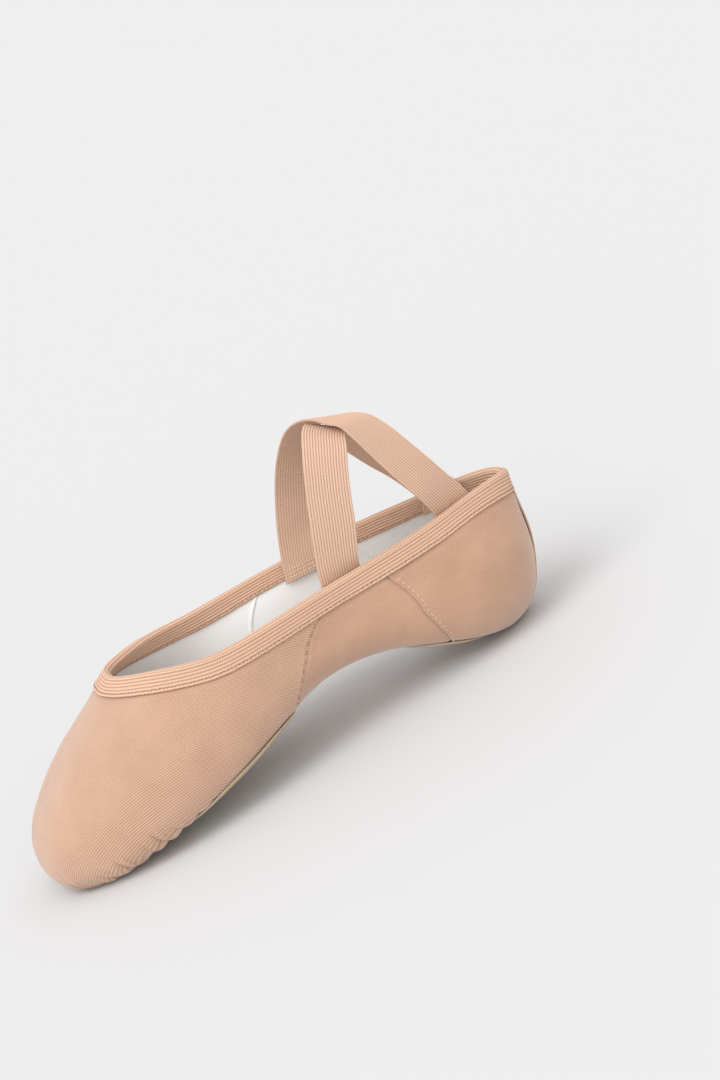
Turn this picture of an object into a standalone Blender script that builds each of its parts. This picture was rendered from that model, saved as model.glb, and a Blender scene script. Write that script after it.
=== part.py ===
"""Stretch-canvas split-sole ballet slipper for the left foot, standing on toe and heel with its arch pulled up.

Row frame: +X towards the toe, +Y towards the wearer's left (outer side), +Z up.
The form is set out straight and flat in millimetres, then bent about the arch and stood on the floor.
"""
import math

import bmesh
import bpy
import numpy as np

MM = 0.001

# ---- form of the straight slipper, mm: one row per station from the heel round to the toe --------------------------
# x, half width outer side, half width inner side, height of widest point, inset of the flat sole edge,
# then the topline: x, distance from the middle, height
STATIONS = (
    (-8.0, 0.0, 0.0, 21.0, 15.0, 3.0, 0.0, 64.5),
    (0.5, 17.0, 17.0, 19.0, 13.0, 9.0, 7.5, 63.8),
    (21.5, 27.5, 27.0, 16.0, 11.0, 28.5, 15.5, 56.0),
    (50.0, 29.0, 27.5, 16.0, 12.0, 51.5, 24.0, 44.7),
    (76.5, 29.0, 26.5, 17.0, 16.0, 74.0, 28.5, 37.5),
    (102.0, 32.5, 29.0, 16.0, 15.0, 97.0, 31.0, 38.2),
    (128.0, 38.0, 35.0, 12.0, 8.0, 118.0, 30.0, 44.5),
    (155.0, 40.0, 38.0, 11.0, 6.5, 133.5, 23.5, 51.3),
    (181.5, 38.5, 37.0, 10.5, 8.0, 143.5, 16.0, 55.3),
    (205.0, 31.5, 32.5, 11.0, 13.0, 149.0, 10.3, 57.4),
    (222.0, 18.5, 20.5, 13.0, 19.0, 151.6, 4.8, 58.5),
    (226.0, -2.0, -2.0, 15.0, 23.0, 151.8, 0.0, 58.8),
)
LOOP = 2 * len(STATIONS) - 2     # stations once round the slipper
TOE = float(len(STATIONS) - 1)   # station number of the toe tip
HEEL_MIDDLE = 34.0               # end of the sole's centre line under the heel
BALL_MIDDLE = 150.0              # its end under the ball
CENTRE_FROM, CENTRE_TO = 4.0, 190.0
WALL_RISE = 0.5                  # how far the wall climbs before it leans in
VAULT = 0.6                      # flattening of the vamp's vault
VAULT_PULL = 0.38

# ---- posture ------------------------------------------------------------------------------------------------------
ARCH_BEND = math.radians(39.0)   # heel plane against ball plane
ARCH_BACK, ARCH_FRONT = 33.0, 116.5
PITCH = math.radians(13.35)      # turn that sets toe and heel down together
SHIFT = (-99.86, -0.99, 48.04)    # puts the foot of the bounding box's middle at the origin
ARCH_PIVOT = (76.0, 8.0)         # arch hinge in the straight slipper: x and height above the sole

# ---- layers, mm outwards from the canvas's outer face ----------------------------------------------------------------
CANVAS = (0.0, 1.0)              # outer face, thickness
LINING = (-1.3, 0.8)
INSOLE_BOTTOM, INSOLE_TOP = 2.4, 4.4
PATCH_TOP, PATCH_BOTTOM = -0.3, -1.6
TAPE = (1.05, 0.7)
THREAD = (1.05, 0.5)
SEAM_HALF_GAP = 0.2
BACK_HALF_GAP = 0.5
BAND_DEPTH = 8.5                 # how far the binding reaches down each side of the topline
TRIM_GAP = 0.8                   # between the binding's lower edge and the trim below it
BAND_OUT = (0.3, 1.3)
BAND_IN = (-2.4, -3.4)
STRAP_WIDTH, STRAP_THICK = 18.4, 1.0
STRAP_INSET = -4.3               # middle of a sewn strap end, inside the binding
TACK = (-5.45, 0.5)

# ---- seams: station number of each seam at heights given on the wall's 0..3 scale ------------------------------------
SEAM_HEIGHTS = (0.0, 0.8, 1.5, 2.0, 2.5, 3.0)
# one row of stations for the outer side (1) and one for the inner side (-1)
VAMP_SEAM = {1: (5.45, 5.40, 5.00, 4.52, 4.20, 4.06), -1: (5.45, 5.42, 5.20, 4.92, 4.68, 4.50)}
HEEL_SEAM = {1: (2.10, 2.22, 2.52, 2.86, 3.18, 3.42), -1: (2.10, 2.22, 2.52, 2.86, 3.18, 3.42)}
# heights of the rows of every panel: 3 topline, 2 widest, 1 sole edge, 0 centre line
ROWS = (3.0, 2.75, 2.5, 2.25, 2.0, 1.7, 1.4, 1.15, 1.0, 0.5, 0.0)
VAMP_STEPS, ARCH_STEPS, HEEL_STEPS = 18, 5, 8

# ---- sole pieces, straight plan outlines, mm -------------------------------------------------------------------------
BALL_CENTRE = (147.0, 0.0)
BALL_PATCH = ((181, 0), (178, 19), (168, 32), (150, 37), (128, 35), (111, 28), (105.5, 17), (112, 5), (121, -4),
              (117, -13), (113, -22), (118, -30), (133, -34.5), (151, -36), (168, -31), (178, -18))
BALL_INSOLE = ((201.5, -1), (200, 12), (191, 23.5), (174, 31), (151, 32.3), (127, 28), (113, 21), (110, 7),
               (110, -7), (113, -19), (127, -26), (151, -30.8), (174, -29.8), (191, -24), (200, -13.5))
HEEL_CENTRE = (34.0, 0.0)
HEEL_PATCH = ((57, 0), (54.5, 12), (45, 19.5), (31, 20.5), (19.5, 14), (14, 0), (19.5, -14), (31, -20.5),
              (45, -19.5), (54.5, -12))
HEEL_INSOLE = ((57, 0), (55, 11), (46, 15.3), (30, 15.8), (16, 10.5), (10, 0), (16, -10.5), (30, -15.8),
               (46, -15.3), (55, -11))
SPOKES = 36
GROOVE = (2.7, 4.3, -0.75)       # stitch groove of a patch: inset from, inset to, its floor
STITCH = (3.05, 3.95, -1.05, -1.5)

# ---- straps ----------------------------------------------------------------------------------------------------------
# front and back sewn ends: station number, how far the end runs down below the topline
OUTER_STRAP_ENDS = ((3.78, 12.5), (LOOP - 1.93, 7.0))
INNER_STRAP_ENDS = ((LOOP - 3.95, 8.8), (1.98, 12.5))
# middle line between the ends, standing slipper before SHIFT is added in x and y, mm, then the direction across it
OUTER_STRAP = (
    (58.6, 25.3, 70.3, 1.0, 0.0, 0.07),
    (53.9, 26.0, 83.2, 0.95, 0.0, 0.32),
    (49.3, 24.3, 94.9, 0.91, 0.0, 0.41),
    (44.4, 20.5, 104.8, 0.87, 0.0, 0.50),
    (40.0, 14.5, 111.1, 0.80, -0.25, 0.54),
    (37.1, 9.0, 114.2, 0.77, -0.26, 0.52),
    (33.8, 4.0, 113.9, 0.77, -0.26, 0.52),
    (29.3, -2.0, 107.1, 0.83, -0.22, 0.52),
    (24.4, -7.5, 96.8, 0.80, -0.55, 0.24),
    (17.5, -11.0, 84.8, 0.82, -0.57, 0.06),
    (10.6, -13.0, 73.4, 0.85, -0.53, 0.03),
)
INNER_STRAP = (
    (61.6, -25.3, 74.2, 0.97, 0.0, 0.24),
    (56.5, -24.7, 85.5, 0.93, 0.0, 0.36),
    (51.6, -22.0, 96.5, 0.87, 0.17, 0.47),
    (47.4, -18.0, 105.6, 0.78, 0.37, 0.50),
    (43.1, -12.5, 112.7, 0.70, 0.51, 0.50),
    (38.5, -6.0, 116.6, 0.63, 0.62, 0.47),
    (33.1, -0.5, 116.7, 0.66, 0.63, 0.42),
    (28.0, 4.5, 114.4, 0.73, 0.58, 0.28),
    (23.7, 8.0, 111.5, 0.78, 0.54, 0.27),
    (20.2, 11.0, 104.2, 0.85, 0.50, 0.18),
    (17.1, 13.0, 95.4, 0.88, 0.46, 0.10),
    (13.1, 14.5, 84.1, 0.89, 0.45, 0.04),
    (9.1, 14.5, 73.0, 0.87, 0.49, -0.01),
)
STRAP_STEPS = 34

MATERIALS = {
    "canvas": ((0.66, 0.46, 0.33, 1.0), 0.85),
    "lining": ((0.80, 0.80, 0.80, 1.0), 0.8),
    "suede": ((0.42, 0.33, 0.22, 1.0), 0.95),
    "elastic": ((0.72, 0.50, 0.37, 1.0), 0.75),
    "thread": ((0.78, 0.60, 0.46, 1.0), 0.6),
    "insole": ((0.74, 0.68, 0.60, 1.0), 0.9),
}


# ---- shape functions -------------------------------------------------------------------------------------------------
def spline_weights(count):
    """Control points of a closed cubic B-spline that passes through count keys."""
    grid = np.eye(count) * 4.0
    for i in range(count):
        grid[i, (i + 1) % count] += 1.0
        grid[i, (i - 1) % count] += 1.0
    return np.linalg.inv(grid / 6.0)


def closed_curve(keys, s):
    """Smooth closed curve through keys, at station numbers s."""
    keys = np.array(keys, float)
    control = spline_weights(len(keys)) @ keys
    s = np.asarray(s, float)
    i = np.floor(s).astype(int)
    u = (s - i)[..., None]
    basis = ((1 - u) ** 3, 3 * u ** 3 - 6 * u ** 2 + 4, -3 * u ** 3 + 3 * u ** 2 + 3 * u + 1, u ** 3)
    return sum(b * control[(i + k - 1) % len(keys)] for k, b in enumerate(basis)) / 6.0


def open_curve(keys, count):
    """Smooth open curve through keys, resampled to count points."""
    keys = np.array(keys, float)
    keys = np.vstack([2 * keys[0] - keys[1], keys, 2 * keys[-1] - keys[-2]])
    s = np.linspace(0, len(keys) - 3 - 1e-9, count)
    i = s.astype(int)
    u = (s - i)[:, None]
    a, b, c, d = keys[i], keys[i + 1], keys[i + 2], keys[i + 3]
    return b + 0.5 * u * (c - a + u * (2 * a - 5 * b + 4 * c - d + u * (3 * (b - c) + d - a)))


def smooth(a, b, x):
    t = np.clip((x - a) / (b - a), 0.0, 1.0)
    return t * t * (3 - 2 * t)


def round_keys():
    outer = [(x, yo, zw, c, xt, yt, zt) for x, yo, yi, zw, c, xt, yt, zt in STATIONS]
    inner = [(x, -yi, zw, c, xt, -yt, zt) for x, yo, yi, zw, c, xt, yt, zt in STATIONS[-2:0:-1]]
    return outer + inner


KEYS = round_keys()


def form(s, t):
    """Outer face of the straight slipper at station s and height t (0 centre line, 1 sole edge, 2 widest, 3 topline)."""
    s, t = np.broadcast_arrays(np.asarray(s, float), np.asarray(t, float))
    x, y, zw, inset, xt, yt, zt = np.moveaxis(closed_curve(KEYS, s), -1, 0)
    xo = HEEL_MIDDLE + (BALL_MIDDLE - HEEL_MIDDLE) * smooth(CENTRE_FROM, CENTRE_TO, x)
    zero = np.zeros_like(x)
    centre = np.stack([xo, zero, zero], -1)
    wide = np.stack([x, y, zw], -1)
    top = np.stack([xt, yt, zt], -1)
    plan = wide - centre
    plan[..., 2] = 0.0
    reach = np.linalg.norm(plan, axis=-1)
    edge = centre + plan * (1 - inset / reach)[..., None]
    flat = centre + (edge - centre) * np.clip(t, 0, 1)[..., None]
    turn = (np.clip(t - 1, 0, 1) * math.pi / 2)[..., None]
    corner = edge + (wide - edge) * np.concatenate([np.sin(turn), np.sin(turn), 1 - np.cos(turn)], -1)
    rise = top - wide
    length = np.linalg.norm(rise, axis=-1, keepdims=True)
    lean = rise.copy()
    lean[..., 2] *= 1 - (1 - VAULT) * smooth(20, 40, np.hypot(rise[..., 0], rise[..., 1]))
    lean /= np.linalg.norm(lean, axis=-1, keepdims=True)
    pull_low = wide + rise * np.array([0, 0, WALL_RISE])
    pull_high = top - lean * length * VAULT_PULL
    u = np.clip(t - 2, 0, 1)[..., None]
    wall = (1 - u) ** 3 * wide + 3 * u * (1 - u) ** 2 * pull_low + 3 * u * u * (1 - u) * pull_high + u ** 3 * top
    return np.where((t <= 1)[..., None], flat, np.where((t <= 2)[..., None], corner, wall))


def outward(s, t):
    """Unit normal of the straight slipper's outer face."""
    s, t = np.broadcast_arrays(np.asarray(s, float), np.asarray(t, float))
    step = 0.01
    low, high = np.maximum(t - step, 1.001), np.minimum(np.maximum(t, 1.001) + step, 3)
    along = form(s + step, np.maximum(t, 1.001)) - form(s - step, np.maximum(t, 1.001))
    up = form(s, high) - form(s, low)
    n = np.cross(along, up)
    n /= np.maximum(np.linalg.norm(n, axis=-1, keepdims=True), 1e-9)
    n = np.where((np.sum(n * (form(s, t) - np.array([95.0, 0, 25.0])), -1) < 0)[..., None], -n, n)
    return np.where((t <= 1.001)[..., None], np.array([0.0, 0.0, -1.0]), n)


def spine():
    x = np.linspace(-60, 320, 3801)
    a = ARCH_BEND * smooth(ARCH_FRONT, ARCH_BACK, x)
    step = x[1] - x[0]
    run = np.concatenate([[0], np.cumsum((np.cos(a[1:]) + np.cos(a[:-1])) / 2 * step)])
    drop = np.concatenate([[0], np.cumsum((np.sin(a[1:]) + np.sin(a[:-1])) / 2 * step)])
    i = np.searchsorted(x, ARCH_FRONT)
    return x, run - run[i] + ARCH_FRONT, drop - drop[i], a


SPINE = spine()


def stand(p):
    """Bends points of the straight slipper about the arch and stands it on the floor."""
    x, run, drop, angle = SPINE
    p = np.asarray(p, float)
    a = np.interp(p[..., 0], x, angle)
    bx = np.interp(p[..., 0], x, run) - np.sin(a) * p[..., 2]
    bz = np.interp(p[..., 0], x, drop) + np.cos(a) * p[..., 2]
    c, k = math.cos(PITCH), math.sin(PITCH)
    return np.stack([c * bx + k * bz, p[..., 1], -k * bx + c * bz], -1) + np.array(SHIFT)


def wall(s, t, offset):
    return form(s, t) + outward(s, t) * np.asarray(offset, float)[..., None]


def height_at(s, depth):
    """Height on the wall's 0..3 scale at a distance down the wall from the topline."""
    t = np.linspace(3, 2, 41)
    run = np.concatenate([[0], np.cumsum(np.linalg.norm(np.diff(form(s, t), axis=0), axis=1))])
    return float(np.interp(depth, run, t))


def below_topline(s, depth, offset):
    """Point of the wall at a distance below the topline, measured down the wall; above it if depth is negative."""
    top, next_down = form(s, np.array([3.0, 2.975]))
    down = (next_down - top) / np.linalg.norm(next_down - top)
    return wall(s, height_at(s, max(depth, 0.0)), offset) + down * min(depth, 0.0)


def seam(stations, t):
    return np.interp(t, SEAM_HEIGHTS, stations)


# ---- building --------------------------------------------------------------------------------------------------------
for old in list(bpy.data.objects):
    bpy.data.objects.remove(old, do_unlink=True)

slipper = bpy.data.collections.new("ballet_slipper")
bpy.context.scene.collection.children.link(slipper)
PIVOT = stand((ARCH_PIVOT[0], 0.0, ARCH_PIVOT[1]))


def material(slot):
    found = bpy.data.materials.get(slot)
    if found is None:
        color, rough = MATERIALS[slot]
        found = bpy.data.materials.new(slot)
        found.use_nodes = True
        shader = found.node_tree.nodes["Principled BSDF"]
        shader.inputs["Base Color"].default_value = color
        shader.inputs["Roughness"].default_value = rough
    return found


def piece(name, slot, points, faces, thickness=0.0, offset=-1.0, on_heel=False):
    """One named part from standing points in mm; a sheet gets its thickness from Solidify, inwards from its normals."""
    origin = PIVOT if on_heel else np.zeros(3)
    mesh = bpy.data.meshes.new(name)
    mesh.from_pydata([tuple((p - origin) * MM) for p in np.asarray(points, float).reshape(-1, 3)], [], faces)
    bm = bmesh.new()
    bm.from_mesh(mesh)
    bmesh.ops.remove_doubles(bm, verts=bm.verts, dist=0.00002)
    bmesh.ops.dissolve_degenerate(bm, edges=bm.edges, dist=0.00001)
    bmesh.ops.triangulate(bm, faces=[f for f in bm.faces if len(f.verts) > 3])
    if thickness == 0.0:
        bmesh.ops.recalc_face_normals(bm, faces=bm.faces)
    bm.to_mesh(mesh)
    bm.free()
    mesh.materials.append(material(slot))
    ob = bpy.data.objects.new(name, mesh)
    ob.location = tuple(origin * MM)
    slipper.objects.link(ob)
    if thickness:
        solid = ob.modifiers.new("thickness", "SOLIDIFY")
        solid.thickness = thickness * MM
        solid.offset = offset
        solid.use_even_offset = True
    return ob


def grid_faces(rows, columns, close_rows=False, close_columns=False):
    faces = []
    for i in range(rows if close_rows else rows - 1):
        for j in range(columns if close_columns else columns - 1):
            k, m = (i + 1) % rows, (j + 1) % columns
            faces.append((i * columns + j, i * columns + m, k * columns + m, k * columns + j))
    return faces


def panel_stations(first, last, steps, t):
    """Station numbers across a panel at height t; first and last are seams or fixed stations, pulled in by a gap."""
    ends = []
    for side, line in ((1, first), (-1, last)):
        if isinstance(line, tuple):
            s = float(seam(line, t))
            pace = np.linalg.norm(form(s + 0.01, t) - form(s - 0.01, t)) / 0.02
            ends.append(s + side * SEAM_HALF_GAP / max(pace, 2.0))
        else:
            ends.append(line)
    return np.linspace(ends[0], ends[1], steps + 1)


def side_line(line, side):
    return line[side] if isinstance(line, dict) else line


def half_sheet(first, last, steps, layer, side):
    """Rows of straight points of a panel on one side of the slipper, topline first."""
    first, last = side_line(first, side), side_line(last, side)
    rows = []
    for t in ROWS:
        s = panel_stations(first, last, steps, t)
        rows.append(wall(s if side > 0 else LOOP - s, t, np.full(s.shape, layer[0])))
    return np.array(rows)


def wrap_panel(name, slot, first, last, steps, layer, on_heel=False):
    """Panel that runs down one wall, under the sole and up the other."""
    outer = half_sheet(first, last, steps, layer, 1)
    inner = half_sheet(first, last, steps, layer, -1)
    sheet = stand(np.concatenate([outer, inner[-2::-1]]))
    faces = grid_faces(sheet.shape[0], sheet.shape[1])
    return piece(name, slot, sheet, faces, layer[1], on_heel=on_heel)


def side_panel(name, slot, first, last, steps, layer, side):
    """Heel panel of one side, with its edge held off the middle plane."""
    sheet = half_sheet(first, last, steps, layer, side)
    sheet[..., 1] = side * np.maximum(side * sheet[..., 1], BACK_HALF_GAP)
    faces = grid_faces(sheet.shape[0], sheet.shape[1])
    if side < 0:
        faces = [f[::-1] for f in faces]
    return piece(name, slot, stand(sheet), faces, layer[1], on_heel=True)


wrap_panel("vamp_canvas", "canvas", VAMP_SEAM, TOE, VAMP_STEPS, CANVAS)
wrap_panel("vamp_lining", "lining", VAMP_SEAM, TOE, VAMP_STEPS, LINING)
wrap_panel("arch_panel", "canvas", HEEL_SEAM, VAMP_SEAM, ARCH_STEPS, CANVAS)
wrap_panel("arch_lining", "lining", HEEL_SEAM, VAMP_SEAM, ARCH_STEPS, LINING)
side_panel("heel_panel_outer", "canvas", 0.0, HEEL_SEAM, HEEL_STEPS, CANVAS, 1)
side_panel("heel_panel_inner", "canvas", 0.0, HEEL_SEAM, HEEL_STEPS, CANVAS, -1)
wrap_panel("heel_lining", "lining", 0.0, HEEL_SEAM, HEEL_STEPS, LINING, on_heel=True)


def topline_stations():
    halves = []
    for side in (1, -1):
        heel, vamp = HEEL_SEAM[side], VAMP_SEAM[side]
        parts = ((0.0, heel, HEEL_STEPS), (heel, vamp, ARCH_STEPS), (vamp, TOE, VAMP_STEPS))
        half = np.concatenate([panel_stations(a, b, n, 3.0) for a, b, n in parts])
        halves.append(half[np.concatenate([[True], np.diff(half) > 0.1])])
    return np.concatenate([halves[0], LOOP - halves[1][-2:0:-1]])


def binding():
    """Elastic band folded over the whole topline."""
    out_near, out_far = BAND_OUT
    in_near, in_far = BAND_IN
    lip, crown = -0.3, -1.3
    section = (
        (BAND_DEPTH, out_far), (4.2, out_far), (lip, out_far), (crown, 0.4), (crown, -2.6), (lip, in_far),
        (4.2, in_far), (BAND_DEPTH, in_far), (BAND_DEPTH, in_near), (4.2, in_near), (lip, in_near),
        (lip, out_near), (4.2, out_near), (BAND_DEPTH, out_near),
    )
    ring = [[below_topline(s, depth, offset) for depth, offset in section] for s in topline_stations()]
    ring = stand(np.array(ring))
    piece("topline_binding", "elastic", ring, grid_faces(len(ring), len(section), True, True), on_heel=True)


binding()


def back_tape():
    """Tape over the back seam, from under the binding to the turn of the heel."""
    s = panel_stations(0.0, HEEL_SEAM[1], HEEL_STEPS, 3.0)[:3]
    s = np.concatenate([-s[:0:-1], s])
    heights = np.concatenate([np.linspace(height_at(0.0, BAND_DEPTH + TRIM_GAP), 2, 6), (1.7, 1.4)])
    sheet = np.array([wall(s * 0.7, t, np.full(s.shape, TAPE[0])) for t in heights])
    piece("back_seam_tape", "canvas", stand(sheet), grid_faces(*sheet.shape[:2]), TAPE[1], on_heel=True)


back_tape()


def seam_thread(name, stations, side, on_heel):
    """Raised row of stitching beside a seam, between the binding and the turn under the sole."""
    stations = stations[side]
    start = height_at(seam(stations, 3.0) if side > 0 else LOOP - seam(stations, 3.0), BAND_DEPTH + TRIM_GAP)
    heights = np.concatenate([np.linspace(start, 2.0, 6), (1.85, 1.6, 1.4)])
    sheet = []
    for t in heights:
        s = float(seam(stations, t))
        pace = np.linalg.norm(form(s + 0.01, t) - form(s - 0.01, t)) / 0.02
        across = s + np.array([1.2, 2.4]) / pace * (-1 if on_heel else 1)
        sheet.append(wall(across if side > 0 else LOOP - across, t, np.full(2, THREAD[0])))
    sheet = np.array(sheet)
    faces = grid_faces(len(sheet), 2)
    if (side > 0) == on_heel:
        faces = [f[::-1] for f in faces]
    piece(name, "thread", stand(sheet), faces, THREAD[1], on_heel=on_heel)


for word, side in (("outer", 1), ("inner", -1)):
    seam_thread("vamp_seam_thread_" + word, VAMP_SEAM, side, False)
    seam_thread("heel_seam_thread_" + word, HEEL_SEAM, side, True)


def plate(name, slot, outline, centre, profile, on_heel, ring=False):
    """Sole piece lofted over rings: profile gives (inset from the outline, height) from middle to edge and back."""
    turns = np.arange(SPOKES) * len(outline) / SPOKES
    edge = closed_curve(outline, turns)
    middle = np.array(centre)
    spread = np.linalg.norm(edge - middle, axis=1)
    loops = []
    for inset, z in profile:
        keep = np.clip(1 - inset / spread, 0.02, 1)[:, None]
        plan = middle + (edge - middle) * keep
        loops.append(np.concatenate([plan, np.full((SPOKES, 1), z)], 1))
    points = np.array(loops)
    faces = grid_faces(len(loops), SPOKES, ring, True)
    if not ring:
        points = points.reshape(-1, 3)
        last = (len(loops) - 1) * SPOKES
        caps = np.array([(centre[0], centre[1], profile[0][1]), (centre[0], centre[1], profile[-1][1])])
        points = np.concatenate([points, caps])
        for j in range(SPOKES):
            k = (j + 1) % SPOKES
            faces.append((j, k, len(points) - 2))
            faces.append((last + k, last + j, len(points) - 1))
    return piece(name, slot, stand(points), faces, on_heel=on_heel)


def patch_profile(rings):
    near, far, floor = GROOVE
    top = [(r, PATCH_TOP) for r in rings] + [(0.6, PATCH_TOP), (0.0, PATCH_TOP - 0.3)]
    rim = [(0.0, PATCH_BOTTOM + 0.35), (0.4, PATCH_BOTTOM)]
    groove = [(near, PATCH_BOTTOM), (near, floor), (far, floor), (far, PATCH_BOTTOM)]
    return top + rim + groove + [(r, PATCH_BOTTOM) for r in reversed(rings)]


def insole_profile(rings):
    top = [(r, INSOLE_TOP) for r in rings] + [(0.5, INSOLE_TOP), (0.0, INSOLE_TOP - 0.5)]
    return top + [(0.0, INSOLE_BOTTOM + 0.5), (0.5, INSOLE_BOTTOM)] + [(r, INSOLE_BOTTOM) for r in reversed(rings)]


def stitch_profile():
    near, far, high, low = STITCH
    return [(near, high), (far, high), (far, low), (near, low)]


plate("forefoot_sole_patch", "suede", BALL_PATCH, BALL_CENTRE, patch_profile((16.0,)), False)
plate("forefoot_patch_thread", "thread", BALL_PATCH, BALL_CENTRE, stitch_profile(), False, ring=True)
plate("forefoot_insole", "insole", BALL_INSOLE, BALL_CENTRE, insole_profile((16.0,)), False)
plate("heel_sole_patch", "suede", HEEL_PATCH, HEEL_CENTRE, patch_profile((15.0, 9.5)), True)
plate("heel_patch_thread", "thread", HEEL_PATCH, HEEL_CENTRE, stitch_profile(), True, ring=True)
plate("heel_insole", "insole", HEEL_INSOLE, HEEL_CENTRE, insole_profile((11.0, 6.0)), True)


def on_wall(s, distance, depth, offset):
    """Standing point inside or outside the wall, a distance towards the toe from station s along the topline."""
    pace = np.linalg.norm(stand(form(s + 0.01, 3.0)) - stand(form(s - 0.01, 3.0))) / 0.02
    ahead = 1 if s < TOE else -1
    return stand(below_topline(s + ahead * distance / pace, depth, offset))


def strap(name, middle, front, back):
    """Elastic ribbon from its front sewn end over the foot to its back one."""
    across = np.linspace(-0.5, 0.5, 5) * STRAP_WIDTH
    lines = []
    for a in across:
        front_end = [on_wall(front[0], a, front[1] * share, STRAP_INSET) for share in (1, 0.5)]
        back_end = [on_wall(back[0], a, back[1] * share, STRAP_INSET) for share in (0.5, 1)]
        crowns = [on_wall(end[0], a, -0.5, STRAP_INSET) for end in (front, back)]
        arc = [(x + SHIFT[0] + u * a, y + SHIFT[1] + v * a, z + w * a) for x, y, z, u, v, w in middle]
        lines.append(open_curve(front_end + crowns[:1] + arc + crowns[1:] + back_end, STRAP_STEPS))
    sheet = np.array(lines)
    piece(name, "elastic", sheet, grid_faces(*sheet.shape[:2]), STRAP_THICK, offset=0.0, on_heel=True)


def tack(name, end):
    """Bar of stitches that holds a strap end, on its inner face."""
    across = np.linspace(-0.5, 0.5, 5) * (STRAP_WIDTH - 4)
    depths = (end[1] - 1.5, end[1] - 5.5)
    sheet = np.array([[on_wall(end[0], a, d, TACK[0]) for a in across] for d in depths])
    piece(name, "thread", sheet, grid_faces(2, len(across)), TACK[1], offset=0.0, on_heel=True)


strap("strap_outer_front", OUTER_STRAP, *OUTER_STRAP_ENDS)
strap("strap_inner_front", INNER_STRAP, *INNER_STRAP_ENDS)
tack("strap_tack_front_outer", OUTER_STRAP_ENDS[0])
tack("strap_tack_front_inner", INNER_STRAP_ENDS[0])
tack("strap_tack_back_outer", INNER_STRAP_ENDS[1])
tack("strap_tack_back_inner", OUTER_STRAP_ENDS[1])
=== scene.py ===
"""Visual model of a stretch-canvas split-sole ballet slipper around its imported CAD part.

The form is set out straight and flat in millimetres, then bent about the arch and stood on the floor,
as the part is.
"""

import math

import bmesh
import bpy
import numpy as np
from mathutils import Matrix, Vector, noise


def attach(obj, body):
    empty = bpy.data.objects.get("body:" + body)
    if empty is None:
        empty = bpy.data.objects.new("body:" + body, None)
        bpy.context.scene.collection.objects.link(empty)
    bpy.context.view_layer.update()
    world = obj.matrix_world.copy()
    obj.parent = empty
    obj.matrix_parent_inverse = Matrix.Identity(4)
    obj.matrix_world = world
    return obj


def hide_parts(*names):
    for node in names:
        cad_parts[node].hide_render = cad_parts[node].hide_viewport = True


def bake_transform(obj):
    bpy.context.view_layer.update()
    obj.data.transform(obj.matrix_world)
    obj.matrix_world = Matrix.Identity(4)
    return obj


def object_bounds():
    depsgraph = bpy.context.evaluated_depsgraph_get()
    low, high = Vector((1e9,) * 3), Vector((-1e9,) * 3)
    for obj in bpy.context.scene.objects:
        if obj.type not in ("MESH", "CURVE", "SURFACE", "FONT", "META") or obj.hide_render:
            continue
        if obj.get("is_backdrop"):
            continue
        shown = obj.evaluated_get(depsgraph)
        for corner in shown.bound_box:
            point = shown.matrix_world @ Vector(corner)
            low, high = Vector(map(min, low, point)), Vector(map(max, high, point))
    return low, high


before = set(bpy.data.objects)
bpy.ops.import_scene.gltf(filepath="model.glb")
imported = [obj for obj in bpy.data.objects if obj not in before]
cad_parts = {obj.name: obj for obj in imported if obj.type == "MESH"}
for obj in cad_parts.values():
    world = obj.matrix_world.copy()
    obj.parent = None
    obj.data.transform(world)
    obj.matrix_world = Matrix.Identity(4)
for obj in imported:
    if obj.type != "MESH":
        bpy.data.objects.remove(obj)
CAD_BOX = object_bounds()

MM = 0.001

# ---- form of the straight slipper, mm: one row per station from the heel round to the toe ------------
# x, half width outer side, half width inner side, height of widest point, inset of the flat sole edge,
# then the topline: x, distance from the middle, height
STATIONS = (
    (-8.0, 0.0, 0.0, 21.0, 15.0, 3.0, 0.0, 64.5),
    (0.5, 17.0, 17.0, 19.0, 13.0, 9.0, 7.5, 63.8),
    (21.5, 27.5, 27.0, 16.0, 11.0, 28.5, 15.5, 56.0),
    (50.0, 29.0, 27.5, 16.0, 12.0, 51.5, 24.0, 44.7),
    (76.5, 29.0, 26.5, 17.0, 16.0, 74.0, 28.5, 37.5),
    (102.0, 32.5, 29.0, 16.0, 15.0, 97.0, 31.0, 38.2),
    (128.0, 38.0, 35.0, 12.0, 8.0, 118.0, 30.0, 44.5),
    (155.0, 40.0, 38.0, 11.0, 6.5, 133.5, 23.5, 51.3),
    (181.5, 38.5, 37.0, 10.5, 8.0, 143.5, 16.0, 55.3),
    (205.0, 31.5, 32.5, 11.0, 13.0, 149.0, 10.3, 57.4),
    (222.0, 18.5, 20.5, 13.0, 19.0, 151.6, 4.8, 58.5),
    (226.0, -2.0, -2.0, 15.0, 23.0, 151.8, 0.0, 58.8),
)
LOOP = 2 * len(STATIONS) - 2     # stations once round the slipper
TOE = float(len(STATIONS) - 1)   # station number of the toe tip
HEEL_MIDDLE = 34.0               # end of the sole's centre line under the heel
BALL_MIDDLE = 150.0              # its end under the ball
CENTRE_FROM, CENTRE_TO = 4.0, 190.0
WALL_RISE = 0.5                  # how far the wall climbs before it leans in
VAULT = 0.6                      # flattening of the vamp's vault
VAULT_PULL = 0.38

# ---- posture -----------------------------------------------------------------------------------------
ARCH_BEND = math.radians(39.0)   # heel plane against ball plane
ARCH_BACK, ARCH_FRONT = 33.0, 116.5
PITCH = math.radians(13.35)      # turn that sets toe and heel down together
SHIFT = (-99.86, -0.99, 48.04)

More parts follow.
